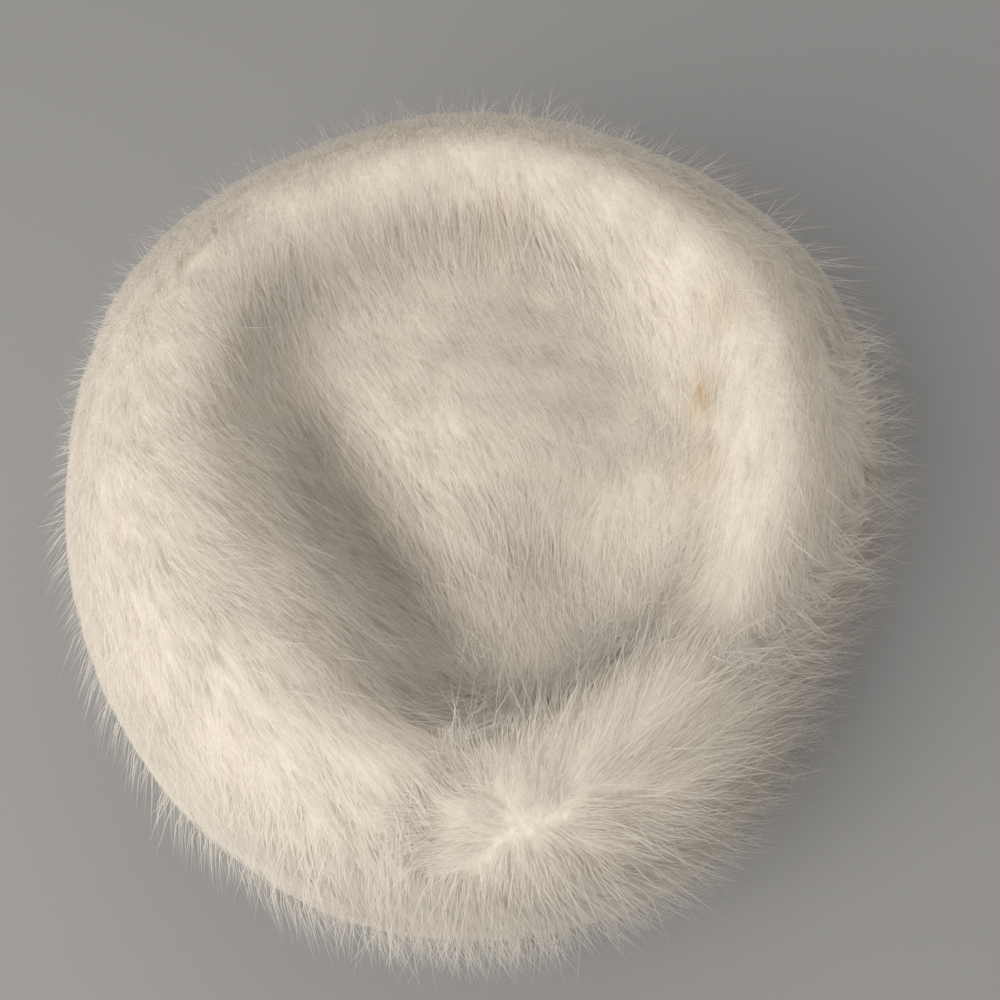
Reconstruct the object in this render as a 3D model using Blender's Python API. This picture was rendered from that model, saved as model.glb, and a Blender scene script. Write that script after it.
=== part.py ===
"""Round white fur hat, sewn from two pelts.

The side band is a strip of pelt closed to a ring. Its lower edge has a turned hem, and its upper
edge rolls inwards over a soft crest. The crown is a disc of pelt sewn inside that roll, sunk in
and dented by handling. Each pelt is a thin wall of leather that carries a deep mat of fur, and
the mat's outer form is made of overlapping rows of pointed locks.

Metres, +Z up. The hat stands on its rim. The origin is the middle of the head opening, on the
surface that the hat rests on. +Y is the back, where the ends of the band meet.
"""
import math
import random
from collections import namedtuple

import bmesh
import bpy

# Driving sizes
HEAD_HALF_WIDTH = 0.086      # head opening inside the hem, ear to ear
HEAD_HALF_LENGTH = 0.092     # head opening inside the hem, brow to nape
HIDE = 0.002                 # thickness of the pelt's leather
HEM_TURN = 0.010             # height of the leather folded up inside the rim
SEAM_ALLOWANCE = 0.006       # edge turned down where the crown and the band are sewn
GAP = 0.0004                 # space between pieces that touch
BAND_HEIGHT = 0.104          # rim to the crest of the band's leather
BAND_SWELL = 0.018           # how far the leather's belly stands out past the rim
CROWN_HALF_WIDTH = 0.073     # crown disc at its seam, ear to ear
CROWN_HALF_LENGTH = 0.085    # crown disc at its seam, front to back
CROWN_SINK = 0.005           # how far the crown sinks below its seam
CROWN_TO_LEFT = 0.006        # the crown and the crest are pushed over to the left
CROWN_TO_FRONT = 0.003       # and a little to the front
DENT_DEPTH = 0.015           # the deepest fold pressed into the top by hand
BAND_FUR = 0.034             # depth of the band's fur
CROWN_FUR = 0.021            # depth of the crown's fur
LOCK_RELIEF = 0.005          # how far a lock's tip stands out of the row under it

# Numbers of repeats
LOCKS_ROUND = 40             # locks in each row round the band
LOCK_ROWS_DOWN = 6           # rows whose tips hang towards the rim
LOCK_ROWS_UP = 4             # rows whose tips lie towards the crown
CROWN_LOCK_ROWS = 10         # rows of locks across the crown, tips to the front

# The band's leather from the rim to the seam, and the lie of its fur. The columns are: out, the
# share of the swell; crown, the share of the way in to the crown's seam; rise, the share of the
# band's height; fur, the share of its depth; lean, the angle that the fur stands at, in degrees
# from level; top, how far the section follows the crown's shift and dents.
Section = namedtuple("Section", "out crown rise fur lean top")
SECTIONS = {
    "rim": Section(0.00, 0.00, 0.00, 0.86, 0, 0.0),
    "low": Section(0.45, 0.00, 0.12, 1.00, -2, 0.0),
    "flank": Section(0.82, 0.00, 0.30, 1.03, 0, 0.0),
    "belly": Section(1.00, 0.00, 0.50, 1.00, 5, 0.0),
    "upper": Section(1.00, 0.05, 0.68, 0.98, 16, 0.1),
    "shoulder": Section(1.00, 0.14, 0.84, 0.95, 38, 0.3),
    "crest_outside": Section(1.00, 0.28, 0.95, 0.91, 62, 0.6),
    "crest": Section(1.00, 0.48, 1.00, 0.87, 84, 0.9),
    "crest_inside": Section(1.00, 0.70, 0.975, 0.80, 96, 1.0),
    "roll": Section(1.00, 0.88, 0.92, 0.72, 96, 1.0),
    "seam": Section(1.00, 1.00, 0.86, 0.67, 90, 1.0),
}
NAMES = list(SECTIONS)
SEAM = NAMES.index("seam")
CREST = NAMES.index("crest")
PARTING = NAMES.index("crest_outside")    # the fur falls away to both sides of this section

# The band all round, a row every 30 degrees, from the hat's right side round by its back. The
# columns are shares of the swell, of the fur's depth and of the drop from the crest to the seam.
Side = namedtuple("Side", "swell fur drop")
SIDES = [
    Side(0.97, 0.98, 1.00),    # 0, right
    Side(1.09, 1.05, 1.00),    # 30
    Side(0.92, 0.96, 0.90),    # 60
    Side(0.93, 0.96, 0.60),    # 90, back
    Side(0.91, 0.95, 0.25),    # 120
    Side(1.09, 1.05, 0.15),    # 150
    Side(0.98, 0.99, 0.12),    # 180, left
    Side(0.94, 0.97, 0.08),    # 210
    Side(0.94, 0.97, 0.15),    # 240
    Side(0.92, 0.96, 0.60),    # 270, front
    Side(0.89, 0.94, 1.00),    # 300
    Side(0.64, 0.81, 1.00),    # 330
]

# How far the crown sinks, in shares of its sink, at even steps from its middle to its seam
CROWN_FALL = [0.30, 0.40, 0.70, 1.00, 0.90, 0.00]
CROWN_RINGS = [0.93, 0.82, 0.68, 0.52, 0.36, 0.18]    # rings of the disc, in shares of its radius

# Dents and humps of the top. Places are shares of the crown's half width and half length, sizes
# are shares of its half width, and turn is in degrees. Sink is a share of the dent depth, less
# than nothing for a hump, and press is the share of the fur's depth that is flattened there.
Dent = namedtuple("Dent", "x y long wide turn sink press")
DENTS = {
    "left_fold": Dent(-0.55, 0.00, 0.40, 0.14, 116, 0.85, 0.10),
    "front_fold": Dent(-0.27, -0.41, 0.52, 0.13, -52, 1.20, 0.15),
    "left_rise": Dent(-0.60, -0.55, 0.70, 0.26, -52, -0.80, 0.00),
    "left_rise_back": Dent(-0.80, 0.05, 0.45, 0.24, 100, -0.55, 0.00),
    "fold_end": Dent(-0.06, -0.80, 0.18, 0.14, -60, 0.30, 0.15),
    "hump": Dent(0.18, 0.10, 0.78, 0.55, -32, -0.50, 0.00),
    "back_hollow": Dent(0.62, 0.80, 0.42, 0.27, -35, 0.25, 0.05),
    "front_hollow": Dent(0.52, -0.50, 0.46, 0.26, 10, 0.45, 0.05),
    "right_fold": Dent(0.97, 0.10, 0.32, 0.08, 90, 0.25, 0.20),
}

STEPS_ROUND = LOCKS_ROUND            # leather is made with one step for each lock
FUR_STEPS_ROUND = 2 * LOCKS_ROUND    # a lock has its middle and its edge
TURN = 2 * math.pi


def blend(start, end, share):
    return start + (end - start) * share


def curve_through(before, start, end, after, part):
    """A smooth curve through four even values, between the middle two."""
    bend = 3 * (start - end) + after - before
    slope = 2 * before - 5 * start + 4 * end - after + part * bend
    return start + 0.5 * part * (end - before + part * slope)


def along(values, place):
    """Values at even steps, read at a place between them."""
    last = len(values) - 1
    first = min(int(place), last - 1)
    four = [values[min(max(first + step, 0), last)] for step in (-1, 0, 1, 2)]
    return curve_through(*four, place - first)


def section_at(place):
    """The band's section at a place between the named ones, 0 at the rim."""
    return Section(*[along(column, place) for column in zip(*SECTIONS.values())])


def side_at(theta):
    """The band's swell, fur and drop at an angle round the hat."""
    place = theta / TURN * len(SIDES)
    first = math.floor(place)
    four = [SIDES[(first + step) % len(SIDES)] for step in (-1, 0, 1, 2)]
    return Side(*[curve_through(*column, place - first) for column in zip(*four)])


def dent_shares(x, y):
    """The sink and the press of all dents at a point of the top."""
    sink = 0.0
    press = 0.0
    for row in DENTS.values():
        turn = math.radians(row.turn)
        dx = x + CROWN_TO_LEFT - row.x * CROWN_HALF_WIDTH
        dy = y + CROWN_TO_FRONT - row.y * CROWN_HALF_LENGTH
        along_it = (dx * math.cos(turn) + dy * math.sin(turn)) / (row.long * CROWN_HALF_WIDTH)
        across_it = (dy * math.cos(turn) - dx * math.sin(turn)) / (row.wide * CROWN_HALF_WIDTH)
        nearness = math.exp(-along_it ** 2 - across_it ** 2)
        sink += row.sink * nearness
        press += row.press * nearness
    return sink, press


def seam_rise(theta):
    """How far the seam stays up where the roll drops less, as a height."""
    return BAND_HEIGHT * (1 - SECTIONS["seam"].rise) * (1 - side_at(theta).drop)


def band_point(theta, place, stand):
    """A point of the band at a distance from its leather, measured along the lie of the fur."""
    row = section_at(place)
    swell = 2 * HIDE + BAND_SWELL * side_at(theta).swell * row.out
    half_width = blend(HEAD_HALF_WIDTH + swell, CROWN_HALF_WIDTH + GAP, row.crown)
    half_length = blend(HEAD_HALF_LENGTH + swell, CROWN_HALF_LENGTH + GAP, row.crown)
    reach = stand * math.cos(math.radians(row.lean))
    left = CROWN_TO_LEFT * row.top
    front = CROWN_TO_FRONT * row.top
    sink = dent_shares(half_width * math.cos(theta) - left,
                       half_length * math.sin(theta) - front)[0]
    x = (half_width + reach) * math.cos(theta) - left
    y = (half_length + reach) * math.sin(theta) - front
    z = BAND_HEIGHT * row.rise + stand * math.sin(math.radians(row.lean))
    if place > CREST:
        z += seam_rise(theta) * (1 - row.rise) / (1 - SECTIONS["seam"].rise)
    return x, y, max(z - DENT_DEPTH * sink * row.top, 0.0)


def crown_leather(x, y):
    """Height of the crown's leather, on its furred side."""
    across = (x + CROWN_TO_LEFT) / CROWN_HALF_WIDTH
    ahead = (y + CROWN_TO_FRONT) / CROWN_HALF_LENGTH
    radius = min(math.hypot(across, ahead), 1.0)
    fall = along(CROWN_FALL, radius * (len(CROWN_FALL) - 1))
    seam_height = BAND_HEIGHT * SECTIONS["seam"].rise
    seam_height += seam_rise(math.atan2(ahead, across)) * radius ** 2
    return seam_height - CROWN_SINK * fall - DENT_DEPTH * dent_shares(x, y)[0]


def crown_point(theta, radius, inset, stand):
    """A point at a height over the crown's leather, at a share of its radius less an inset."""
    x = (CROWN_HALF_WIDTH * radius - inset) * math.cos(theta) - CROWN_TO_LEFT
    y = (CROWN_HALF_LENGTH * radius - inset) * math.sin(theta) - CROWN_TO_FRONT
    return x, y, crown_leather(x, y) + stand


def angles(steps):
    return [TURN * step / steps for step in range(steps)]


def add_ring(body, points):
    return [body.verts.new(point) for point in points]


def join_rings(body, first, second):
    """Faces between two closed rings. The second has as many points, or twice as many.

    Triangles leave no choice of diagonal, so leather and fur that meet have the same facets.
    """
    count = len(first)
    for step in range(count):
        after = (step + 1) % count
        if len(second) == count:
            body.faces.new((first[step], first[after], second[after]))
            body.faces.new((first[step], second[after], second[step]))
        else:
            near, middle, far = (second[(2 * step + k) % len(second)] for k in (0, 1, 2))
            body.faces.new((first[step], middle, near))
            body.faces.new((first[step], first[after], middle))
            body.faces.new((first[after], far, middle))


def join_in_turn(body, rings):
    for first, second in zip(rings, rings[1:]):
        join_rings(body, first, second)


def close_with_fan(body, ring, point):
    middle = body.verts.new(point)
    for step, vert in enumerate(ring):
        body.faces.new((vert, ring[(step + 1) % len(ring)], middle))


def hem_place():
    """The place on the band where the turned hem ends, found by halving."""
    low, high = 0.0, float(PARTING)
    for _ in range(30):
        middle = (low + high) / 2
        if section_at(middle).rise * BAND_HEIGHT < HEM_TURN:
            low = middle
        else:
            high = middle
    return low


def side_band_hide():
    """The band's leather: hair side, edge turned down at the seam, flesh side, turned hem."""
    body = bmesh.new()

    def ring(place, stand):
        return add_ring(body, [band_point(theta, place, stand) for theta in angles(STEPS_ROUND)])

    def edge_ring(drop, out):
        points = []
        for theta in angles(STEPS_ROUND):
            x, y, z = band_point(theta, SEAM, 0.0)
            points.append((x + out * math.cos(theta), y + out * math.sin(theta), z - drop))
        return add_ring(body, points)

    hem = hem_place()
    hair_side = [ring(place, 0.0) for place in range(SEAM + 1)]
    turned_edge = [edge_ring(SEAM_ALLOWANCE, 0.0), edge_ring(SEAM_ALLOWANCE, HIDE),
                   edge_ring(HIDE, HIDE)]
    flesh_side = [ring(place, -HIDE) for place in range(SEAM - 1, math.ceil(hem), -1)]
    turned_hem = [ring(hem, -HIDE), ring(hem, -2 * HIDE), ring(0, -2 * HIDE)]
    rings = hair_side + turned_edge + flesh_side + turned_hem
    join_in_turn(body, rings + rings[:1])
    return body


def side_band_fur():
    """The band's fur: a mat against the leather, with rows of locks fused to its outer face."""
    body = bmesh.new()
    chance = random.Random(11)

    def lock_ring(place, depth, point_by, phase):
        """A ring of the outer form, zigzag where the locks of a row end."""
        points = []
        for step, theta in enumerate(angles(FUR_STEPS_ROUND)):
            middle = (step + phase) % 2 == 0
            at = place + (point_by if middle else -point_by) * chance.uniform(0.7, 1.3)
            full = BAND_FUR * side_at(theta).fur * section_at(at).fur
            groove = 0.0 if middle else LOCK_RELIEF * chance.uniform(0.4, 0.8)
            points.append(band_point(theta, at, full - LOCK_RELIEF * depth - groove))
        return add_ring(body, points)

    def rows(start, end, count):
        """Root and tip of each row of locks, from the parting at 'start' to 'end'."""
        pitch = (end - start) / count
        zigzag = 0.12 * pitch
        rings = []
        for row in range(count):
            rings.append(lock_ring(start + pitch * (row + 0.02), 1.0, zigzag * (row > 0), row + 1))
            rings.append(lock_ring(start + pitch * (row + 0.86), 0.0, zigzag, row))
        return rings

    mat = [add_ring(body, [band_point(theta, place, GAP) for theta in angles(STEPS_ROUND)])
           for place in range(SEAM + 1)]
    down = rows(PARTING - 0.1, 0.0, LOCK_ROWS_DOWN)
    up = rows(PARTING + 0.1, SEAM, LOCK_ROWS_UP)
    rim = lock_ring(0.0, 0.0, 0.0, 0)
    seam = lock_ring(SEAM, 0.6, 0.0, 0)
    join_in_turn(body, mat)
    join_in_turn(body, [rim] + down[::-1] + up + [seam])
    join_rings(body, mat[0], rim)
    join_rings(body, mat[-1], seam)
    return body


def crown_hide():
    """The crown's leather: a sunken disc with its edge turned down inside the seam."""
    body = bmesh.new()

    def ring(radius, inset, stand):
        return add_ring(body, [crown_point(theta, radius, inset, stand)
                               for theta in angles(STEPS_ROUND)])

    hair_side = [ring(radius, 0.0, 0.0) for radius in CROWN_RINGS[::-1] + [1.0]]
    turned_edge = [ring(1.0, 0.0, -SEAM_ALLOWANCE), ring(1.0, HIDE, -SEAM_ALLOWANCE),
                   ring(1.0, HIDE, -HIDE)]
    flesh_side = [ring(radius, 0.0, -HIDE) for radius in CROWN_RINGS]
    join_in_turn(body, hair_side + turned_edge + flesh_side)
    close_with_fan(body, hair_side[0], crown_point(0.0, 0.0, 0.0, 0.0))
    close_with_fan(body, flesh_side[-1], crown_point(0.0, 0.0, 0.0, -HIDE))
    return body


def crown_fur():
    """The crown's fur: a mat on the disc, with locks in rows that are combed to the front."""
    body = bmesh.new()
    chance = random.Random(5)
    steps = 2 * CROWN_LOCK_ROWS

    def even_share(step):
        """A place across the disc that puts the edge points at even angles."""
        return math.sqrt(2) * math.sin(TURN / 4 * (step / steps - 0.5))

    def top_vert(column, row):
        """A point of the locks: odd rows are tips, even rows the roots tucked in before them."""
        across = even_share(column)
        back = even_share(row)
        inside = (1 - across ** 2) * (1 - back ** 2)
        is_tip = row % 2 == 1
        is_middle = (column + row // 2) % 2 == 0
        pitch = 1 / CROWN_LOCK_ROWS
        back += inside * pitch * ((0.0 if is_tip else 0.5) + (-0.25 if is_middle else 0.25))
        x = CROWN_HALF_WIDTH * across * math.sqrt(1 - back ** 2 / 2) - CROWN_TO_LEFT
        y = CROWN_HALF_LENGTH * back * math.sqrt(1 - across ** 2 / 2) - CROWN_TO_FRONT
        groove = 0.0 if is_middle else chance.uniform(0.4, 0.8)
        depth = CROWN_FUR * (1 - dent_shares(x, y)[1])
        tuck = LOCK_RELIEF * (groove + (0.0 if is_tip else 1.0))
        return body.verts.new((x, y, crown_leather(x, y) + depth - tuck))

    grid = [[top_vert(column, row) for column in range(steps + 1)] for row in range(steps + 1)]
    for row in range(steps):
        for column in range(steps):
            body.faces.new((grid[row][column], grid[row][column + 1],
                            grid[row + 1][column + 1], grid[row + 1][column]))
    front = grid[0]
    right = [line[-1] for line in grid]
    back = grid[-1][::-1]
    left = [line[0] for line in grid][::-1]
    edge = front[:-1] + right[:-1] + back[:-1] + left[:-1]
    start = steps // 2 + steps       # the edge's point at the hat's right side
    edge = edge[start:] + edge[:start]
    mat = [add_ring(body, [crown_point(theta, radius, 0.0, GAP) for theta in angles(STEPS_ROUND)])
           for radius in CROWN_RINGS[::-1] + [1.0]]
    join_rings(body, mat[-1], edge)
    join_in_turn(body, mat)
    close_with_fan(body, mat[0], crown_point(0.0, 0.0, 0.0, GAP))
    return body


def material(name, colour, roughness):
    finish = bpy.data.materials.new(name)
    finish.use_nodes = True
    shader = finish.node_tree.nodes["Principled BSDF"]
    shader.inputs["Base Color"].default_value = (*colour, 1.0)
    shader.inputs["Roughness"].default_value = roughness
    shader.inputs["Metallic"].default_value = 0.0
    return finish


def add_piece(name, body, finish):
    bmesh.ops.recalc_face_normals(body, faces=body.faces)
    mesh = bpy.data.meshes.new(name)
    body.to_mesh(mesh)
    body.free()
    mesh.shade_smooth()
    mesh.set_sharp_from_angle(angle=math.radians(40))
    mesh.materials.append(finish)
    piece = bpy.data.objects.new(name, mesh)
    bpy.context.collection.objects.link(piece)
    return piece


def build():
    for old in list(bpy.data.objects):
        bpy.data.objects.remove(old, do_unlink=True)
    leather = (0.72, 0.62, 0.48)
    fur = (0.80, 0.76, 0.67)
    add_piece("side_band_hide", side_band_hide(), material("band_leather", leather, 0.8))
    add_piece("side_band_fur", side_band_fur(), material("band_fur", fur, 0.9))
    add_piece("crown_hide", crown_hide(), material("crown_leather", leather, 0.8))
    add_piece("crown_fur", crown_fur(), material("crown_fur", fur, 0.9))


build()
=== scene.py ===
# %% [markdown]
# # A round white fur hat
# The real hat is two pelts: a side band that rolls over into a sunken crown. Their leather is
# hidden, and what the eye sees is a deep, soft, cream-white pile that is combed from the back of
# the crown to its front and falls outwards round the band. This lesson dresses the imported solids
# in that pile. The leather keeps its solids and gets a suede finish. The two fur solids are
# replaced by a soft bed of underfur and by hair laid on it, strand by strand.

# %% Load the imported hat
import math

import bpy
import numpy as np
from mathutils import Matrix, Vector
from mathutils.bvhtree import BVHTree
from mathutils.kdtree import KDTree


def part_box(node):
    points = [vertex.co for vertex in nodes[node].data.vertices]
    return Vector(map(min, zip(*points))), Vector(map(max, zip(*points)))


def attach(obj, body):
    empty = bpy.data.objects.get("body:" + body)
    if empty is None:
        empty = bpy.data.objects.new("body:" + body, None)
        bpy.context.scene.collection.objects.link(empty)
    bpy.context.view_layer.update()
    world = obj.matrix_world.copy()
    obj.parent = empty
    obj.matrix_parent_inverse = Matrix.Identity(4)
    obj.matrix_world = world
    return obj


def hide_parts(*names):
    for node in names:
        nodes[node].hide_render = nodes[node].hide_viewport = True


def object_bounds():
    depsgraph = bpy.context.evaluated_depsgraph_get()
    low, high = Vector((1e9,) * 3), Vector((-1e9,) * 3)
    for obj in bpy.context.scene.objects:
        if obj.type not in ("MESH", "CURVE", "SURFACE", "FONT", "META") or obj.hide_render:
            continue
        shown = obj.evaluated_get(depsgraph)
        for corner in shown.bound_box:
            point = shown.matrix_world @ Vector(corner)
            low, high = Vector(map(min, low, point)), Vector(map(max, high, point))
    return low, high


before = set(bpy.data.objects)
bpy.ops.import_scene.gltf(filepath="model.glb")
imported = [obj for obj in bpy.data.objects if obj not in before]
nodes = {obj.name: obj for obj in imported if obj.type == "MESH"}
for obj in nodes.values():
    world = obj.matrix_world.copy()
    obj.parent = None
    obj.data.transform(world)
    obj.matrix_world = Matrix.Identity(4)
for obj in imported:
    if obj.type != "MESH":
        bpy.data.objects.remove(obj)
solid_low, solid_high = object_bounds()
half_width = (solid_high.x - solid_low.x) / 2
half_length = (solid_high.y - solid_low.y) / 2
height = solid_high.z
MM = 0.001
print("hat", [round(side / MM) for side in (solid_high - solid_low)], "mm")

# %% [markdown]
# ## Camera, floor and light
# The hat was seen from close by and from high above its front, with soft daylight coming from
# the left. The camera stands where that view was taken: its distance and tilt make the outline
# and the crown fall on the same places. The floor is a plain pale sheet. A broad area light
# stands in for the window and a weaker one for the room, and a pale sky fills the folds. The
# folds need few bounces, and with so much hair each bounce costs time, so there are only three.

# %% Camera, floor and light
CAMERA_PLACE = (0.0058, -0.1472, 0.4049)
CAMERA_TILT = math.radians(67)     # how far the view looks down
CAMERA_ANGLE = math.radians(50)
WINDOW_PLACE = (-0.74, -0.76, 1.02)
WINDOW_POWER = 26.8
ROOM_PLACE = (0.25, 0.80, 1.20)
ROOM_POWER = 6.0
LIGHT_SIZE = 1.4
LIGHT_COLOUR = (1.0, 0.965, 0.90)
SKY = (1.0, 0.975, 0.965)
SKY_STRENGTH = 0.31
FLOOR_GREY = (0.26, 0.26, 0.265)
FLOOR_SIZE = 6.0


def plain_material(name, colour, roughness):
    made = bpy.data.materials.new(name)
    made.use_nodes = True
    shader = made.node_tree.nodes["Principled BSDF"]
    shader.inputs["Base Color"].default_value = (*colour, 1)
    shader.inputs["Roughness"].default_value = roughness
    return made


def deselect():
    bpy.ops.object.select_all(action="DESELECT")


scene = bpy.context.scene
camera_data = bpy.data.cameras.new("camera")
camera_data.angle = CAMERA_ANGLE
camera = bpy.data.objects.new("camera", camera_data)
camera.location = CAMERA_PLACE
camera.rotation_euler = (math.pi / 2 - CAMERA_TILT, 0, 0)
scene.collection.objects.link(camera)
scene.camera = camera

deselect()
bpy.ops.mesh.primitive_plane_add(size=FLOOR_SIZE, location=(0, 0, -0.5 * MM))
floor = bpy.context.object
floor.name = "floor"
floor.data.materials.append(plain_material("pale_floor", FLOOR_GREY, 0.9))


def area_light(name, place, power):
    data = bpy.data.lights.new(name, "AREA")
    data.size = LIGHT_SIZE
    data.energy = power
    data.color = LIGHT_COLOUR
    light = bpy.data.objects.new(name, data)
    light.location = place
    towards_hat = Vector((0, 0, height / 2)) - light.location
    light.rotation_euler = towards_hat.to_track_quat("-Z", "Y").to_euler()
    scene.collection.objects.link(light)


area_light("window", WINDOW_PLACE, WINDOW_POWER)
area_light("room", ROOM_PLACE, ROOM_POWER)
scene.world = bpy.data.worlds.new("sky")
scene.world.use_nodes = True
sky = scene.world.node_tree.nodes["Background"]
sky.inputs["Color"].default_value = (*SKY, 1)
sky.inputs["Strength"].default_value = SKY_STRENGTH
scene.view_settings.view_transform = "Standard"
scene.cycles.max_bounces = 3
scene.cycles.diffuse_bounces = 2
scene.cycles.transmission_bounces = 2
scene.cycles.debug_use_spatial_splits = True
print("camera", CAMERA_PLACE)

# %% [markdown]
# ## The bed of underfur
# Under the long hair of a pelt lies a dense, woolly underfur that no light gets through. It could
# be left out, but then the leather would show between the strands. It is made from the hat's own
# fur solids: copies are joined, a voxel remesh fuses them over the thin gap at the crown's seam,
# and a smoothing takes the stepped locks away and leaves the crest, the folds and the hollows.

# %% Join and smooth the fur solids
BED_VOXEL = 3.2 * MM
BED_SMOOTHING = 16
ROLL_SMOOTHING = 50                # more, on the band's upper side, where the locks part
ROLL_EDGE = 1.05                   # share of the crown where the roll begins
GROOVE_EDGE = 0.80                 # and in front on the right, where fur fills the seam's groove
EDGE_BLEND = 0.15
ROLL_FROM = 0.45                   # share of the height where the roll begins


def points_of(mesh):
    flat = np.empty(len(mesh.vertices) * 3)
    mesh.vertices.foreach_get("co", flat)
    return flat.reshape(-1, 3)


def normals_of(mesh):
    flat = np.empty(len(mesh.vertices) * 3)
    mesh.vertex_normals.foreach_get("vector", flat)
    return flat.reshape(-1, 3)


def unit(vectors):
    return vectors / np.maximum(np.linalg.norm(vectors, axis=-1, keepdims=True), 1e-9)


def fade_in(values, start, width):
    """0 up to a start, 1 from a width beyond it, and rising evenly between."""
    return np.clip((values - start) / width, 0, 1)


crown_low, crown_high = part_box("crown_hide")
crown_middle = (crown_low + crown_high) / 2
crown_half = (crown_high - crown_low) / 2


def crown_share_of(places):
    """0 at the middle of the crown, 1 at its seam, seen from above."""
    return np.hypot((places[:, 0] - crown_middle.x) / crown_half.x,
                    (places[:, 1] - crown_middle.y) / crown_half.y)


def copy_of(node):
    piece = node.copy()
    piece.data = node.data.copy()
    piece.parent = None
    for key in list(piece.keys()):
        del piece[key]
    scene.collection.objects.link(piece)
    return piece


def apply_modifier(piece, kind, **settings):
    modifier = piece.modifiers.new(kind.lower(), kind)
    for name, value in settings.items():
        setattr(modifier, name, value)
    deselect()
    piece.select_set(True)
    bpy.context.view_layer.objects.active = piece
    bpy.ops.object.modifier_apply(modifier=modifier.name)


fur_copies = [copy_of(nodes["side_band_fur"]), copy_of(nodes["crown_fur"])]
deselect()
for piece in fur_copies:
    piece.select_set(True)
bpy.context.view_layer.objects.active = fur_copies[0]
bpy.ops.object.join()
bed = fur_copies[0]
bed.name = "underfur"
apply_modifier(bed, "WELD", merge_threshold=0.01 * MM)
apply_modifier(bed, "REMESH", mode="VOXEL", voxel_size=BED_VOXEL, adaptivity=0.0)
apply_modifier(bed, "SMOOTH", factor=0.5, iterations=BED_SMOOTHING)
roll = bed.vertex_groups.new(name="roll")
for index, place in enumerate(points_of(bed.data)):
    in_front = (fade_in(-place[1] / half_length, 0.28, 0.12)
                * fade_in(place[0] / half_width, -0.12, 0.15))
    edge = ROLL_EDGE + (GROOVE_EDGE - ROLL_EDGE) * in_front
    on_roll = fade_in(crown_share_of(place[None])[0], edge, EDGE_BLEND)
    roll.add([index], on_roll * fade_in(place[2] / height, ROLL_FROM, EDGE_BLEND), "REPLACE")
apply_modifier(bed, "SMOOTH", factor=0.5, iterations=ROLL_SMOOTHING, vertex_group="roll")
bed.vertex_groups.clear()
print("underfur", len(bed.data.polygons), "faces")

# %% [markdown]
# The remeshed body has an outer side, where the hair stands, and an inner side against the
# leather. They are told apart by distance: a point of the outer side is a fur's depth away from
# the leather. The outer side is then drawn in, in short steps with a little smoothing between
# them, so that the crest stays round.

# %% Draw the outer side in
BED_DEPTH = 2.0 * MM               # how far the bed lies under the tips of the fur
DRAW_STEPS = 3
STEP_SMOOTHING = 3
LAST_SMOOTHING = 5
LEATHER_SIDE = 5 * MM              # nearer to the leather than this is the inner side
OUTER_BLEND = 6 * MM
FLOOR_SIDE = 2 * MM                # and so is what lies this near to the floor
BED_RAISED = 0.6 * MM              # the bed stays this far off the floor
SEEN_SHARE = 0.02                  # hair stands on faces with more of the outer side than this


def surface_tree(pieces):
    """A search tree of the faces of several pieces together."""
    points = []
    faces = []
    for piece in pieces:
        start = len(points)
        points += [vertex.co.copy() for vertex in piece.data.vertices]
        faces += [[start + index for index in face.vertices] for face in piece.data.polygons]
    return BVHTree.FromPolygons(points, faces)


leather = surface_tree([nodes["side_band_hide"], nodes["crown_hide"]])


def outer_share(points):
    """1 on the side where hair stands, 0 against the leather and on the floor."""
    away = np.array([leather.find_nearest(point)[3] for point in points])
    return fade_in(away, LEATHER_SIDE, OUTER_BLEND) * fade_in(points[:, 2], FLOOR_SIDE, OUTER_BLEND)


for _ in range(DRAW_STEPS):
    bed_points = points_of(bed.data)
    inward = normals_of(bed.data) * (BED_DEPTH / DRAW_STEPS * outer_share(bed_points))[:, None]
    bed.data.vertices.foreach_set("co", (bed_points - inward).ravel())
    bed.data.update()
    apply_modifier(bed, "SMOOTH", factor=0.5, iterations=STEP_SMOOTHING)
apply_modifier(bed, "REMESH", mode="VOXEL", voxel_size=BED_VOXEL, adaptivity=0.0)
apply_modifier(bed, "SMOOTH", factor=0.5, iterations=LAST_SMOOTHING)
bed_points = points_of(bed.data)
bed_points[:, 2] = np.maximum(bed_points[:, 2], BED_RAISED)
bed.data.vertices.foreach_set("co", bed_points.ravel())
bed.data.update()
outer = outer_share(bed_points)
outside = np.array([outer[list(face.vertices)].min() > SEEN_SHARE
                    for face in bed.data.polygons])
print("outer faces", int(outside.sum()), "of", len(outside))
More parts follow.
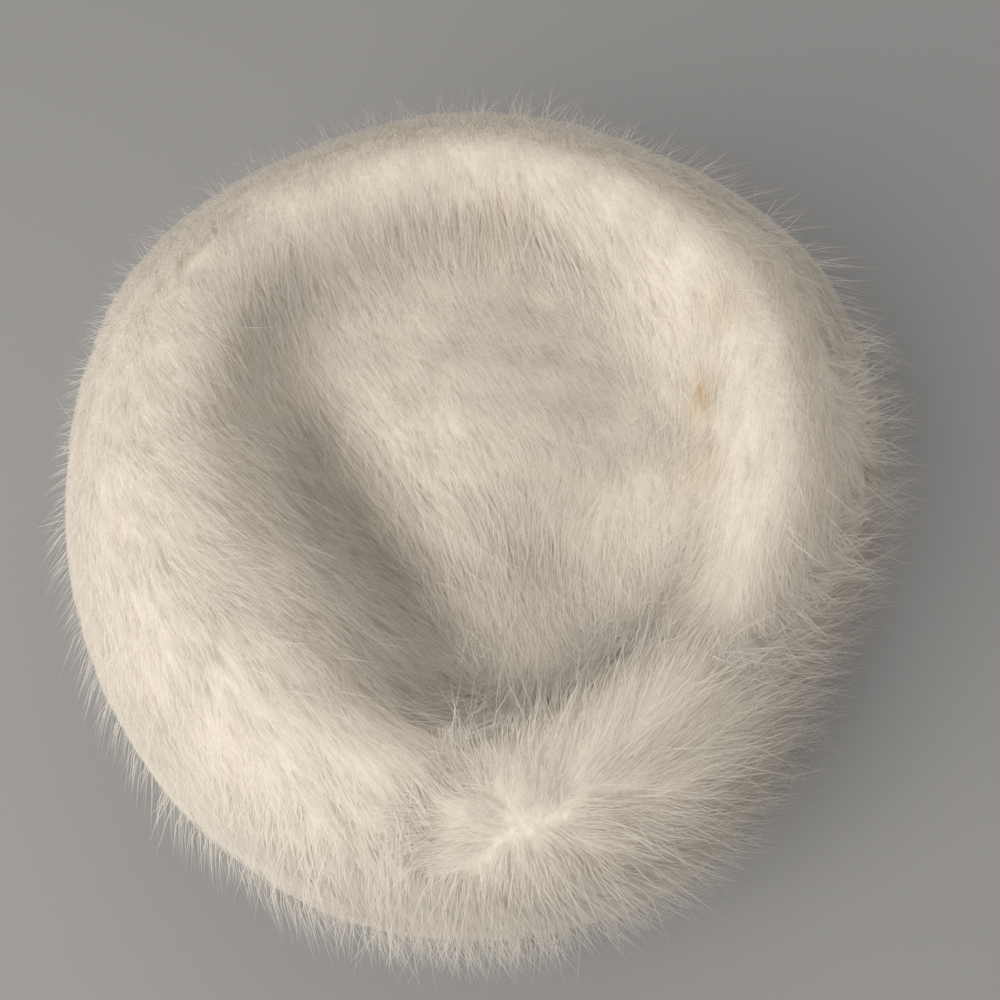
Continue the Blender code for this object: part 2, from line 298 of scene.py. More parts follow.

# %% [markdown]
# ## The comb chart
# Fur has a lie, and the eye reads it before it reads a single hair. This chart holds it: each row
# is a place on the hat, in shares of its half width, half length and height, the heading of the
# tips in degrees (0 to the hat's right, 90 to its back), their rise (below nothing where they
# hang), and the lift off the skin. Between the rows the lie is blended by distance.

# %% Comb chart
COMB = {
    # place                     x      y     z heading   rise  lift
    "back_crest":           ( 0.09,  0.58, 0.93,   -84,  0.00, 0.30),
    "back_outside":         ( 0.00,  0.69, 0.98,   -85,  0.00, 0.30),
    "back_outside_left":    (-0.23,  0.65, 0.98,   -79,  0.00, 0.30),
    "left_back_edge":       (-0.41,  0.57, 0.98,   -76,  0.00, 0.30),
    "back_outside_right":   ( 0.27,  0.67, 0.96,   -84,  0.00, 0.32),
    "right_back_edge":      ( 0.44,  0.52, 0.98,   -84,  0.00, 0.32),
    "right_back_outer":     ( 0.56,  0.58, 0.92,   -92,  0.00, 0.40),
    "back_over":            ( 0.00,  0.86, 0.87,   -88,  0.30, 0.35),
    "back_over_right":      ( 0.32,  0.80, 0.88,   -86,  0.30, 0.38),
    "back_over_left":       (-0.32,  0.79, 0.88,   -84,  0.30, 0.35),
    "left_back_over":       (-0.58,  0.64, 0.88,   -72,  0.30, 0.35),
    "back_crest_left":      (-0.32,  0.47, 0.89,   -66,  0.00, 0.28),
    "back_crest_right":     ( 0.27,  0.54, 0.95,   -80,  0.00, 0.32),
    "right_back_roll":      ( 0.40,  0.40, 0.95,   -64,  0.00, 0.30),
    "along_right_seam":     ( 0.42,  0.26, 0.89,   -60,  0.00, 0.30),
    "left_back_crest":      (-0.51,  0.43, 0.99,   -78,  0.00, 0.28),
    "left_back_outside":    (-0.65,  0.34, 1.00,   -52,  0.00, 0.30),
    "left_outside":         (-0.65,  0.07, 0.98,   -54,  0.00, 0.28),
    "left_crest":           (-0.72, -0.11, 0.98,   -40,  0.00, 0.30),
    "left_outer":           (-0.84, -0.12, 0.92,   -58,  0.10, 0.32),
    "left_outer_back":      (-0.83,  0.14, 0.93,   -56,  0.20, 0.32),
    "left_back_outer":      (-0.77,  0.37, 0.93,   -62,  0.20, 0.32),
    "left_crest_front":     (-0.70, -0.27, 0.98,   -48,  0.00, 0.28),
    "left_crest_end":       (-0.66, -0.42, 0.95,   -54,  0.00, 0.28),
    "left_outer_front":     (-0.81, -0.30, 0.89,   -60,  0.00, 0.32),
    "left_front_outer":     (-0.76, -0.46, 0.86,   -64,  0.00, 0.34),
    "left_slope_back":      (-0.55,  0.10, 0.92,   -61, -0.20, 0.25),
    "left_slope":           (-0.60, -0.17, 0.96,   -36, -0.20, 0.25),
    "fold_back":            (-0.51, -0.03, 0.86,   -46, -0.20, 0.22),
    "fold_start":           (-0.43,  0.22, 0.84,   -60,  0.00, 0.22),
    "fold_slope":           (-0.47, -0.33, 0.90,   -32, -0.20, 0.25),
    "fold_low":             (-0.32, -0.35, 0.83,   -42,  0.00, 0.20),
    "fold_floor":           (-0.30, -0.09, 0.67,   -46,  0.00, 0.20),
    "fold_end_slope":       (-0.18, -0.46, 0.80,   -54,  0.00, 0.25),
    "fold_end":             (-0.02, -0.56, 0.80,   -62,  0.00, 0.30),
    "hump_left_flank":      (-0.39,  0.07, 0.75,   -50,  0.00, 0.22),
    "hump_nose":            (-0.09, -0.41, 0.68,   -68,  0.00, 0.25),
    "hump":                 (-0.07,  0.01, 0.86,   -66,  0.00, 0.28),
    "hump_back":            ( 0.00,  0.19, 0.84,   -70,  0.00, 0.28),
    "crown_back":           (-0.14,  0.33, 0.83,   -66,  0.00, 0.25),
    "crown_back_right":     ( 0.18,  0.26, 0.80,   -62,  0.00, 0.25),
    "crown_right_back":     ( 0.36,  0.21, 0.80,   -78,  0.00, 0.25),
    "crown_right":          ( 0.26,  0.08, 0.82,   -70,  0.00, 0.28),
    "crown_right_edge":     ( 0.34, -0.04, 0.81,  -104,  0.00, 0.28),
    "crown_right_front":    ( 0.23, -0.13, 0.81,  -112,  0.00, 0.28),
    "right_crease":         ( 0.46, -0.02, 0.81,   -96,  0.00, 0.28),
    "crown_front":          ( 0.08, -0.39, 0.76,   -87,  0.00, 0.28),
    "front_hollow":         ( 0.30, -0.34, 0.77,   -84,  0.00, 0.28),
    "front_hollow_right":   ( 0.42, -0.40, 0.88,  -118,  0.00, 0.38),
    "front_hollow_front":   ( 0.26, -0.50, 0.86,    60,  0.00, 0.40),
    "fold_end_right":       ( 0.09, -0.55, 0.81,   -86,  0.00, 0.30),
    "right_crest":          ( 0.53,  0.01, 0.96,  -100,  0.00, 0.32),
    "right_crest_middle":   ( 0.54, -0.20, 0.93,  -106,  0.00, 0.35),
    "right_roll":           ( 0.66,  0.08, 0.98,  -118,  0.00, 0.42),
    "right_roll_middle":    ( 0.64, -0.14, 0.95,  -116,  0.00, 0.45),
    "right_crest_back":     ( 0.53,  0.21, 0.98,  -118,  0.00, 0.35),
    "right_crest_outside":  ( 0.62,  0.27, 0.99,  -124,  0.00, 0.40),
    "right_shoulder_back":  ( 0.84,  0.10, 0.87,    38,  0.00, 0.50),
    "right_shoulder":       ( 0.78, -0.29, 0.80,    42,  0.00, 0.50),
    "right_front_shoulder": ( 0.69, -0.50, 0.82,    28,  0.00, 0.45),
    "front_right_shoulder": ( 0.54, -0.65, 0.84,    22,  0.00, 0.45),
    "left_front_inside":    (-0.38, -0.62, 0.98,   -46,  0.00, 0.28),
    "left_front_crest":     (-0.23, -0.67, 0.98,   -50,  0.00, 0.28),
    "left_front_end":       (-0.14, -0.72, 0.98,   -56,  0.00, 0.32),
    "left_front_over":      (-0.21, -0.78, 0.95,   -66,  0.00, 0.35),
    "left_front_outside":   (-0.52, -0.66, 0.90,   -74,  0.00, 0.36),
    "front_up_left":        (-0.02, -0.75, 0.97,   104,  0.00, 0.30),
    "front_up":             ( 0.03, -0.76, 0.97,    93,  0.00, 0.30),
    "front_up_middle":      ( 0.10, -0.73, 0.97,    98,  0.00, 0.30),
    "front_up_inside":      ( 0.10, -0.65, 0.96,    94, -0.20, 0.26),
    "front_up_edge":        ( 0.10, -0.60, 0.91,    92, -0.40, 0.22),
    "front_up_edge_right":  ( 0.19, -0.59, 0.94,    84, -0.30, 0.24),
    "front_up_right":       ( 0.22, -0.71, 0.97,    80,  0.00, 0.32),
    "front_parting":        (-0.02, -0.83, 0.92,   165,  0.00, 0.22),
    "front_up_far_right":   ( 0.32, -0.66, 0.96,    62,  0.00, 0.34),
    "front_right_crest":    ( 0.41, -0.60, 0.95,    60,  0.00, 0.36),
    "front_right_over":     ( 0.29, -0.80, 0.89,     5,  0.00, 0.42),
    "front_right_flank":    ( 0.43, -0.76, 0.85,     8,  0.00, 0.42),
    "front_right_end":      ( 0.56, -0.70, 0.76,    18,  0.00, 0.42),
    "front_right_low":      ( 0.34, -0.85, 0.78,   -42,  0.00, 0.42),
    "front_down_right":     ( 0.24, -0.88, 0.81,   -60,  0.00, 0.42),
    "front_down_middle":    ( 0.12, -0.90, 0.82,   -78,  0.00, 0.45),
    "front_shoulder":       ( 0.00, -0.91, 0.83,   -90, -0.20, 0.45),
    "front_left_shoulder":  (-0.24, -0.89, 0.80,   -98, -0.20, 0.45),
    "left_front_ring":      (-0.42, -0.80, 0.84,  -108, -0.20, 0.45),
    "back_shoulder":        ( 0.00,  0.97, 0.68,   -90,  0.90, 0.50),
    "back_shoulder_left":   (-0.70,  0.70, 0.70,   -80,  0.80, 0.45),
    "back_shoulder_right":  ( 0.68,  0.70, 0.72,    60,  0.20, 0.55),
    "left_back_shoulder":   (-0.93,  0.35, 0.70,   -62,  0.70, 0.42),
    "left_shoulder":        (-0.97, -0.05, 0.72,   -64,  0.50, 0.42),
    "left_front_shoulder":  (-0.82, -0.60, 0.70,   -80,  0.00, 0.42),
    "right_side":           ( 1.00,  0.00, 0.45,    10, -0.60, 0.45),
    "right_front_side":     ( 0.75, -0.70, 0.45,   -40, -0.70, 0.45),
    "front_side":           ( 0.00, -1.00, 0.45,   -90, -0.90, 0.45),
    "left_front_side":      (-0.70, -0.72, 0.45,   -95, -0.70, 0.40),
    "left_side":            (-1.00,  0.00, 0.45,   -92,  0.30, 0.40),
    "left_back_side":       (-0.72,  0.70, 0.40,  -130,  0.10, 0.42),
    "back_side":            ( 0.00,  1.00, 0.32,   150,  0.00, 0.48),
    "right_back_side":      ( 0.72,  0.70, 0.40,    40, -0.50, 0.48),
    "right_rim":            ( 0.90,  0.00, 0.06,     0, -0.50, 0.40),
    "front_rim":            ( 0.00, -0.90, 0.06,   -90, -0.50, 0.40),
    "left_rim":             (-0.90,  0.00, 0.06,   180, -0.50, 0.40),
    "back_rim":             ( 0.00,  0.90, 0.06,    90, -0.50, 0.40),
}
hat_scale = np.array([half_width, half_length, height])
rows = np.array(list(COMB.values()))
comb_places = rows[:, :3] * hat_scale
comb_headings = np.radians(rows[:, 3])
comb_lies = np.stack([np.cos(comb_headings), np.sin(comb_headings), rows[:, 4]], axis=1)
comb_lifts = rows[:, 5]
COMB_REACH = 9 * MM                # rows nearer than this share a place
COMB_FADE = -1.7                   # how fast a row's say falls with distance
PARTING_LIFT = 0.25                # where rows pull apart, the hair stands up


def comb(places, normals):
    """The lie along the skin, the lift off it and the share of parting, at many places."""
    lies = np.zeros_like(places)
    lifts = np.zeros(len(places))
    total = np.zeros(len(places))
    for place, lie, lift in zip(comb_places, comb_lies, comb_lifts):
        far = ((places - place) ** 2).sum(axis=1) + COMB_REACH ** 2
        weight = far ** COMB_FADE
        lies += weight[:, None] * lie
        lifts += weight * lift
        total += weight
    lies = lies / total[:, None]
    lies -= normals * (lies * normals).sum(axis=1)[:, None]
    parting = 1 - np.clip(np.linalg.norm(lies, axis=1), 0, 1)
    return unit(lies), lifts / total + PARTING_LIFT * parting, parting


print(len(COMB), "rows in the comb chart")

# %% [markdown]
# ## Strands
# A strand could be a curve with a thickness, but a imported model keeps only meshes. Each strand is
# a flat kite of two triangles, widest where it bends, and tens of thousands of them are written
# into a mesh straight from arrays. Hair doesn't lie evenly: it gathers in small tufts whose tips
# meet. Each strand is therefore drawn to the tip of its nearest tuft, by a share that differs from
# tuft to tuft.

# %% Where strands stand
rng = np.random.default_rng(23)
bed.data.calc_loop_triangles()
corner_ids = np.empty(len(bed.data.loop_triangles) * 3, int)
bed.data.loop_triangles.foreach_get("vertices", corner_ids)
corner_ids = corner_ids.reshape(-1, 3)
owner = np.empty(len(corner_ids), int)
bed.data.loop_triangles.foreach_get("polygon_index", owner)
corner_ids = corner_ids[outside[owner]]
bed_points = points_of(bed.data)
bed_normals = normals_of(bed.data)
corners = bed_points[corner_ids]
face_crosses = np.cross(corners[:, 1] - corners[:, 0], corners[:, 2] - corners[:, 0])
areas = np.linalg.norm(face_crosses, axis=1)
middles = corners.mean(axis=1)


def scatter(count, weights):
    """Random places on the bed, with their normals, as many as asked, by area and weight."""
    share = areas * weights
    chosen = rng.choice(len(areas), size=count, p=share / share.sum())
    first = np.sqrt(rng.random(count))[:, None]
    second = rng.random(count)[:, None]
    mix = [1 - first, first * (1 - second), first * second]
    ids = corner_ids[chosen]
    places = sum(mix[k] * bed_points[ids[:, k]] for k in range(3))
    normals = unit(sum(mix[k] * bed_normals[ids[:, k]] for k in range(3)))
    return places, normals


print("bed area", round(areas.sum() / 2 * 1e4), "cm2")

# %% Tufts
TUFT_SPACING = 6.5 * MM
WAVE_SWAY = np.radians(7)          # tufts turn to and fro in broad waves
OWN_SWAY = np.radians(6)           # and each by itself
LIFT_SPREAD = 0.15
WAVE_REACH = 0.08
OWN_REACH = 0.06
MOST_GATHER = 0.3                  # the tightest tuft draws its strands together by this share
tuft_count = int(areas.sum() / 2 / TUFT_SPACING ** 2)


def waves(places, length, seed):
    """A smooth random value, about -1 to 1, that changes over a length."""
    source = np.random.default_rng(seed)
    value = np.zeros(len(places))
    for _ in range(7):
        direction = unit(source.normal(size=(1, 3)))[0]
        pitch = length * source.uniform(0.7, 1.5)
        value += np.sin(places @ direction * 2 * math.pi / pitch + source.uniform(0, 2 * math.pi))
    return value / 3.0


def turned(vectors, axes, angles):
    """Vectors turned about unit axes."""
    cos = np.cos(angles)[:, None]
    sin = np.sin(angles)[:, None]
    along = (axes * vectors).sum(axis=1)[:, None] * axes
    return vectors * cos + np.cross(axes, vectors) * sin + along * (1 - cos)


tuft_places, tuft_normals = scatter(tuft_count, np.ones(len(areas)))
tuft_lies, tuft_lifts, _ = comb(tuft_places, tuft_normals)
sway = WAVE_SWAY * waves(tuft_places, 30 * MM, 3) + OWN_SWAY * rng.normal(size=tuft_count)
tuft_lies = turned(tuft_lies, tuft_normals, sway)
tuft_lifts = np.clip(tuft_lifts * (1 + LIFT_SPREAD * rng.normal(size=tuft_count)), 0.1, 1.2)
tuft_reach = 1 + WAVE_REACH * waves(tuft_places, 24 * MM, 5)
tuft_reach = tuft_reach + OWN_REACH * rng.normal(size=tuft_count)
tuft_gather = rng.uniform(0.0, MOST_GATHER, tuft_count)
tuft_shade = 0.5 * waves(tuft_places, 18 * MM, 8) + 0.5 * rng.normal(size=tuft_count)
tuft_tree = KDTree(tuft_count)
for index, place in enumerate(tuft_places):
    tuft_tree.insert(place, index)
tuft_tree.balance()
print(tuft_count, "tufts")

# %% [markdown]
# ## Colour of the hair
# White fur isn't one white. The tips are bleached, the lower hair is creamier, and tan hair from
# the animal's flank shows at the partings by the seam. Some darker tone is painted shade, in the
# crease at the right seam and at the deep end of the fold. A strand is too small for a pattern of
# its own, so its place on the map carries its colour: across the map runs the tone, from tan to
# white, and up the map runs the strand, from root to tip. Strands of one tone lie on each other.

# %% Shader sums as expressions


class Socket:
    """A socket that adds Math nodes when it is used in a sum."""

    def __init__(self, shader, link):
        self.shader = shader
        self.link = link

    def _math(self, operation, first, second):
        return self.shader.node("ShaderNodeMath", {"operation": operation}, {0: first, 1: second})

    def __add__(self, other):
        return self._math("ADD", self, other)

    def __mul__(self, other):
        return self._math("MULTIPLY", self, other)

    __radd__ = __add__
    __rmul__ = __mul__


class Finish:
    """A material whose nodes are added one by one."""

    def __init__(self, name):
        self.material = bpy.data.materials.new(name)
        self.material.use_nodes = True
        self.tree = self.material.node_tree
        self.principled = self.tree.nodes["Principled BSDF"]
        self.output = self.tree.nodes["Material Output"]

    def put(self, target, value):
        if isinstance(value, Socket):
            self.tree.links.new(value.link, target)
        else:
            target.default_value = value

    def node(self, kind, settings, sockets, out=0):
        made = self.tree.nodes.new(kind)
        for name, value in settings.items():
            if name == "stops":
                self.ramp(made, value)
            else:
                setattr(made, name, value)
        for name, value in sockets.items():
            self.put(made.inputs[name], value)
        return Socket(self, made.outputs[out])

    def ramp(self, made, stops):
        elements = made.color_ramp.elements
        while len(elements) < len(stops):
            elements.new(0.5)
        for element, (place, colour) in zip(elements, stops):
            element.position = place
            element.color = (*colour, 1)

    def surface(self, **sockets):
        for name, value in sockets.items():
            self.put(self.principled.inputs[name.replace("_", " ")], value)


def mixed(finish, how, share, first, second):
    """Two colours mixed. In a Mix node, sockets 6 and 7 and output 2 are the colours."""
    settings = {"data_type": "RGBA", "blend_type": how, "clamp_factor": True}
    return finish.node("ShaderNodeMix", settings, {0: share, 6: first, 7: second}, out=2)


# %% Hair finish
MAP_NAME = "OFBake"
TONES = [(0.0, (0.52, 0.33, 0.15)), (0.25, (0.70, 0.57, 0.39)), (0.5, (0.84, 0.79, 0.70)),
         (0.75, (0.90, 0.87, 0.82)), (1.0, (0.95, 0.94, 0.92))]
STRAND_SHADES = [(0.0, (0.95, 0.94, 0.92)), (0.45, (0.98, 0.975, 0.97)), (1.0, (1.0, 1.0, 1.0))]
SHINES_THROUGH = 0.55              # share of the light that goes through the hair
THROUGH_COLOUR = (0.94, 0.89, 0.83)


def hair_finish():
    """Cream hair that light shines through."""
    finish = Finish("cream_hair")
    chart = finish.node("ShaderNodeUVMap", {"uv_map": MAP_NAME}, {})
    split = finish.node("ShaderNodeSeparateXYZ", {}, {0: chart})
    up = Socket(finish, split.link.node.outputs[1])
    tone = finish.node("ShaderNodeValToRGB", {"stops": TONES}, {0: split})
    shade = finish.node("ShaderNodeValToRGB", {"stops": STRAND_SHADES}, {0: up})
    colour = mixed(finish, "MULTIPLY", 1.0, tone, shade)
    finish.surface(Base_Color=colour, Roughness=0.62)
    finish.principled.inputs["Specular IOR Level"].default_value = 0.0
    glow = finish.node("ShaderNodeBsdfTranslucent", {}, {0: (*THROUGH_COLOUR, 1)})
    through = finish.node("ShaderNodeMixShader", {}, {0: SHINES_THROUGH, 2: glow})
    finish.tree.links.new(finish.principled.outputs[0], through.link.node.inputs[1])
    finish.put(finish.output.inputs[0], through)
    return finish.material


hair = hair_finish()
print("hair finish", len(hair.node_tree.nodes), "nodes")

# %% Stains and painted shade
STAINS_AND_SHADE = {
    # place                x      y     z     size  depth
    "seam_at_back":     ( 0.02,  0.53, 0.85,  8 * MM, 0.32),
    # partly real tan at the seam, partly painted shade of the crease there
    "seam_at_right_tan_and_shade":    ( 0.47,  0.09, 0.84,  7 * MM, 0.70),
    "seam_right_front": ( 0.46, -0.06, 0.82,  8 * MM, 0.32),
    "patch_on_crest":   ( 0.51,  0.25, 0.96,  9 * MM, 0.28),
    # painted shade: the deep end of the fold is darkened in the colour
    "shade_at_end_of_fold":      (-0.02, -0.57, 0.80, 10 * MM, 0.22),
}
PLAIN_TONE = 0.74
TONE_WAVE = 0.03
TONE_SHADE = 0.02


def tone_at(places, shade):
    """The map's tone at many places: 1 is white, 0 is tan."""
    tone = PLAIN_TONE + TONE_WAVE * waves(places, 60 * MM, 21) + TONE_SHADE * shade
    for x, y, z, size, depth in STAINS_AND_SHADE.values():
        far = ((places - np.array([x, y, z]) * hat_scale) ** 2).sum(axis=1)
        tone -= depth * np.exp(-far / size ** 2)
    return np.clip(tone, 0.02, 0.98)


# %% [markdown]
# ## Writing strands into a mesh
# A strand starts steeply from the skin and then leans over with the lie, so its lower half is
# one straight piece and its upper half another. Its flat side faces outwards, with some twist.
# Fine hair scatters light so much that a pelt is shaded as a whole, so each strand takes its
# shading normals mostly from the skin under it. Hair is limp, so a strand follows the form under
# it: its bend and its tip are brought to a small height over the underfur, also where the form
# curves away or another slope comes near. No tip goes under the floor, and the hair at the rim
# is splayed out on it.

# %% Strand writer
BEND_AT = 0.45                     # share of a strand where it leans over
TIP_SPREAD = 1.6 * MM
BEND_HEIGHTS = (1.2 * MM, 4.0 * MM)
TIP_HEIGHTS = (2.0 * MM, 4.8 * MM)
OWN_SHADING = 0.12                 # how much of its own slope a strand shows in the light
OWN_LIE = 0.35                     # how far a strand keeps its own lie, against its tuft's
OWN_LIFT = 0.3
PILE_LIFT = 0.75                   # the pile lies flatter than the chart has it
FRAY = 6                           # degrees that a limp strand strays from the lie
STIFF_FRAY = 50
STEEPNESS = 0.45                   # how steeply a strand leaves the skin
ROOT_JITTER = 0.10
TUFT_WIDTH = 12 * MM               # a tuft draws no strand from farther away
BEND_GATHER = 0.3                  # share of the tip's pull that the bend feels
ON_FLOOR = 0.3 * MM                # heights at which hair lies on the floor, and their spread
FLOOR_SPREAD = 1.0 * MM
TWIST = 0.5
KITE_LOOPS = (0, 1, 3, 3, 1, 2)    # root, right, left, and left, right, tip
KITE_UP = (0.02, 0.5, 0.5, 0.5, 0.5, 0.98)
KITE_ACROSS = (0, 1, -1, -1, 1, 0)
MAP_WIDTH = 0.004

bed_tree = surface_tree([bed])


def settle(points, lowest, highest):
    """Points brought to between two heights over the underfur."""
    settled = np.empty_like(points)
    for index, point in enumerate(points):
        spot, normal, _, _ = bed_tree.find_nearest(point)
        over_bed = normal.dot(Vector(point) - spot)
        settled[index] = spot + normal * min(max(over_bed, lowest), highest)
    return settled


def strand_rows(places, normals, lengths, stiffness, gather):
    """Start, bend and tip of many strands."""
    count = len(places)
    found = np.fromiter((tuft_tree.find(place)[1] for place in places), int, count)
    lies, lifts, _ = comb(places, normals)
    lies = unit(OWN_LIE * lies + (1 - OWN_LIE) * tuft_lies[found])
    fray = np.radians(FRAY + STIFF_FRAY * stiffness)
    lies = turned(lies, normals, fray * rng.normal(size=count))
    lifts = PILE_LIFT * (OWN_LIFT * lifts + (1 - OWN_LIFT) * tuft_lifts[found])
    lengths = lengths * tuft_reach[found]
    lean = (1.0 - 0.5 * lifts - stiffness)[:, None]
    steep = unit(STEEPNESS * normals + lies * np.maximum(lean, 0)
                 + ROOT_JITTER * rng.normal(size=(count, 3)))
    leaning = unit(lies + normals * (lifts + stiffness)[:, None])
    bends = places + steep * (lengths * BEND_AT)[:, None]
    tips = bends + leaning * (lengths * (1 - BEND_AT))[:, None]
    out = unit(0.6 * tuft_normals[found] + 0.8 * tuft_lies[found])
    tuft_tips = tuft_places[found] + out * (lengths * BEND_AT)[:, None]
    over = unit(tuft_lies[found] + tuft_normals[found] * (tuft_lifts[found] + stiffness)[:, None])
    tuft_tips = tuft_tips + over * (lengths * (1 - BEND_AT))[:, None]
    tuft_tips = tuft_tips + TIP_SPREAD * rng.normal(size=(count, 3))
    pull = (tuft_gather[found] * gather)[:, None]
    near = np.linalg.norm(tuft_tips - tips, axis=1) < TUFT_WIDTH
    pull = pull * near[:, None]
    tips = tips + pull * (tuft_tips - tips)
    bends = bends + BEND_GATHER * pull * (tuft_tips - tips)
    if not stiffness:
        bends = settle(bends, *BEND_HEIGHTS)
        tips = settle(tips, *TIP_HEIGHTS)
    for ends in (bends, tips):
        on_floor = ON_FLOOR + FLOOR_SPREAD * rng.random(count)
        ends[:, 2] = np.maximum(ends[:, 2], on_floor)
    return places, bends, tips, found


def strand_mesh(name, places, normals, lengths, width, stiffness=0.0, gather=1.0):
    """A mesh of flat strands: one triangle from root to bend, and one to the tip."""
    count = len(places)
    roots, bends, tips, found = strand_rows(places, normals, lengths, stiffness, gather)
    side = np.cross(tips - roots, normals)
    side = unit(side + 1e-6)
    side = turned(side, unit(tips - roots), rng.normal(0, TWIST, count))
    side *= np.sign((np.cross(side, tips - roots) * normals).sum(axis=1))[:, None]
    half = side * (width / 2 * rng.uniform(0.7, 1.3, count))[:, None]
    points = np.stack([roots, bends + half, tips, bends - half], axis=1)
    mesh = bpy.data.meshes.new(name)
    mesh.vertices.add(4 * count)
    mesh.vertices.foreach_set("co", points.ravel())
    mesh.loops.add(6 * count)
    loops = (4 * np.arange(count)[:, None] + np.array(KITE_LOOPS)).ravel()
    mesh.loops.foreach_set("vertex_index", loops)
    mesh.polygons.add(2 * count)
    mesh.polygons.foreach_set("loop_start", 3 * np.arange(2 * count))
    mesh.update(calc_edges=True)
    mesh.polygons.foreach_set("use_smooth", np.ones(2 * count, bool))
    shading = unit(normals + OWN_SHADING * unit(np.cross(side, tips - roots)))
    mesh.normals_split_custom_set_from_vertices(np.repeat(shading, 4, axis=0))
    tone = tone_at(roots, tuft_shade[found] + 0.6 * rng.normal(size=count))
    chart = mesh.uv_layers.new(name=MAP_NAME)
    across = tone[:, None] + MAP_WIDTH * np.array(KITE_ACROSS)
    spots = np.stack([across, np.broadcast_to(KITE_UP, (count, 6))], axis=2)
    chart.data.foreach_set("uv", spots.ravel())
    mesh.validate()
    mesh.materials.append(hair)
    piece = bpy.data.objects.new(name, mesh)
    scene.collection.objects.link(piece)
    print(name, count, "strands")
    return piece


# %% [markdown]
# ## The pile
# The hair is laid area by area, so that no mesh gets too heavy: the crown, and the band's four
# sides. Each place belongs to one area. The higher a place lies, the more hair it has for its
# size, because it lies open to the light, and a parting has more again, because the hair leaves
# it bare.

# %% Areas of the pile
STRANDS = 30000
CROWN_SHARE = 0.85                 # strands on the crown, against those of one side
CROWN_LENGTH = 14 * MM
PILE_LENGTH = 15 * MM
LENGTH_SPREAD = (0.72, 1.12)
HAIR_WIDTH = 0.19 * MM
PARTING_FILL = 3.5
on_crown = crown_share_of(middles) < 1.0
around = np.arctan2(middles[:, 1] / half_length, middles[:, 0] / half_width)
quarter = np.floor(((around + math.pi / 4) % (2 * math.pi)) / (math.pi / 2)).astype(int)
facing_up = 0.55 + 0.6 * fade_in(middles[:, 2], 30 * MM, 100 * MM)
thickness = facing_up * (1 + PARTING_FILL * comb(middles, unit(face_crosses))[2])
pile = []


def lay_pile(name, chosen, count, length):
    places, normals = scatter(count, np.where(chosen, thickness, 0.0))
    lengths = length * rng.uniform(*LENGTH_SPREAD, count)
    pile.append(strand_mesh(name, places, normals, lengths, HAIR_WIDTH))


lay_pile("crown_pile", on_crown, int(STRANDS * CROWN_SHARE), CROWN_LENGTH)
for number, name in enumerate(("right", "back", "left", "front")):
    lay_pile("band_pile_" + name, ~on_crown & (quarter == number), STRANDS, PILE_LENGTH)

# %% [markdown]
# Above the pile stand the guard hairs: few, longer and stiffer. They are what makes the outline
# bristle. More of them stand out on the right and the front than on the left.

# %% Guard hair
GUARD_SHARE = 0.4
GUARD_LENGTH = 22                  # millimetres, and this much less at the back and the left
GUARD_SHORTER = 6
GUARD_WIDTH = 0.22 * MM
GUARD_STIFFNESS = 0.35
GUARD_GATHER = 0.3
right_and_front = middles[:, 0] / half_width - 0.8 * middles[:, 1] / half_length
bristle = 0.45 + 0.55 * np.clip(right_and_front, 0, 1)
guard_places, guard_normals = scatter(int(STRANDS * GUARD_SHARE), bristle)
shorter = np.clip(-guard_places[:, 0] / half_width + guard_places[:, 1] / half_length, 0, 1)
guard_lengths = (GUARD_LENGTH - GUARD_SHORTER * shorter) * MM
guard_lengths = guard_lengths * rng.uniform(0.75, 1.15, len(guard_places))
guard_piece = strand_mesh("guard_hair", guard_places, guard_normals, guard_lengths, GUARD_WIDTH,
                          stiffness=GUARD_STIFFNESS, gather=GUARD_GATHER)

# %% [markdown]
# ## Finish of the underfur and the leather
# The underfur is matt and creamier than the hair. It is painted darker than the hair as shade, so
# that a gap between strands reads as depth. The flesh side of a pelt is suede: a soft nap with
# faint mottling, and no shine.

# %% Underfur and suede
# painted shade: the underfur's tones are darker than the hair's, for the shade in the gaps of the
# pile
WOOL_AND_SHADE_TONES = [(0.3, (0.62, 0.575, 0.50)), (0.7, (0.71, 0.67, 0.60))]
SUEDE_TONES = [(0.3, (0.60, 0.48, 0.33)), (0.7, (0.74, 0.64, 0.49))]
OBJECT_PLACE = 3                   # the output of Texture Coordinate that is used


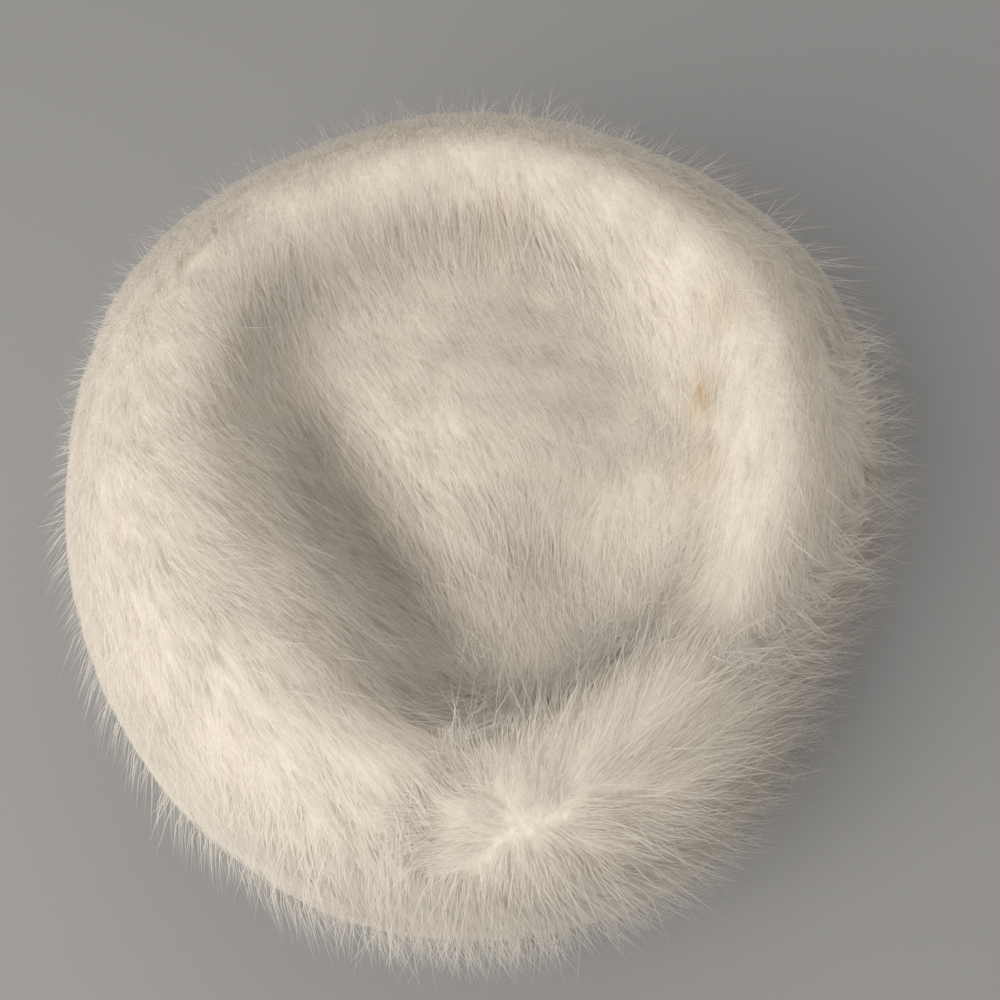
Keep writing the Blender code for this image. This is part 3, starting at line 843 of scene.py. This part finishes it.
def underfur_finish():
    """Matt wool painted darker than the hair as shade, tan at the stains, darker at painted shade
    spots.
    """
    finish = Finish("woolly_underfur_and_painted_shade")
    place = finish.node("ShaderNodeTexCoord", {}, {}, out=OBJECT_PLACE)
    wool = finish.node("ShaderNodeTexNoise", {}, {0: place, "Scale": 420.0, "Detail": 3.0})
    tone = finish.node("ShaderNodeValToRGB", {"stops": WOOL_AND_SHADE_TONES}, {0: wool})
    bump = finish.node("ShaderNodeBump", {}, {"Strength": 0.5, "Distance": 0.001, "Height": wool})
    for x, y, z, size, depth in STAINS_AND_SHADE.values():
        middle = (x * half_width, y * half_length, z * height)
        far = finish.node("ShaderNodeVectorMath", {"operation": "DISTANCE"},
                          {0: place, 1: middle}, out=1)
        share = finish.node("ShaderNodeMapRange", {"interpolation_type": "SMOOTHSTEP"},
                            {0: far, 1: 0.0, 2: 1.6 * size, 3: 1.2 * depth, 4: 0.0})
        tone = mixed(finish, "MIX", share, tone, (*TONES[0][1], 1))
    finish.surface(Base_Color=tone, Roughness=0.95, Normal=bump)
    return finish.material


def suede_finish():
    """The flesh side of a pelt."""
    finish = Finish("pelt_suede")
    place = finish.node("ShaderNodeTexCoord", {}, {}, out=OBJECT_PLACE)
    mottle = finish.node("ShaderNodeTexNoise", {}, {0: place, "Scale": 38.0, "Detail": 4.0})
    nap = finish.node("ShaderNodeTexNoise", {}, {0: place, "Scale": 900.0, "Detail": 2.0})
    tone = finish.node("ShaderNodeValToRGB", {"stops": SUEDE_TONES}, {0: mottle * 0.8 + nap * 0.2})
    bump = finish.node("ShaderNodeBump", {},
                       {"Strength": 0.35, "Distance": 0.0006, "Height": nap + mottle * 0.5})
    finish.surface(Base_Color=tone, Roughness=0.88, Normal=bump)
    return finish.material


bed.data.materials.clear()
bed.data.materials.append(underfur_finish())
for face in bed.data.polygons:
    face.use_smooth = True
suede = suede_finish()
for name in ("side_band_hide", "crown_hide"):
    nodes[name].data.materials.clear()
    nodes[name].data.materials.append(suede)

# %% [markdown]
# ## Hand over the pieces
# Every new piece rides with the hat's one body, and the two fur solids that it replaces are hidden.

# %% Hand over
for piece in [bed, *pile, guard_piece]:
    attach(piece, "root")
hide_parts("side_band_fur", "crown_fur")
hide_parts("crown_fur")
for piece in pile[1:]:
    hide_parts("side_band_fur")
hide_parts("side_band_fur", "crown_fur")
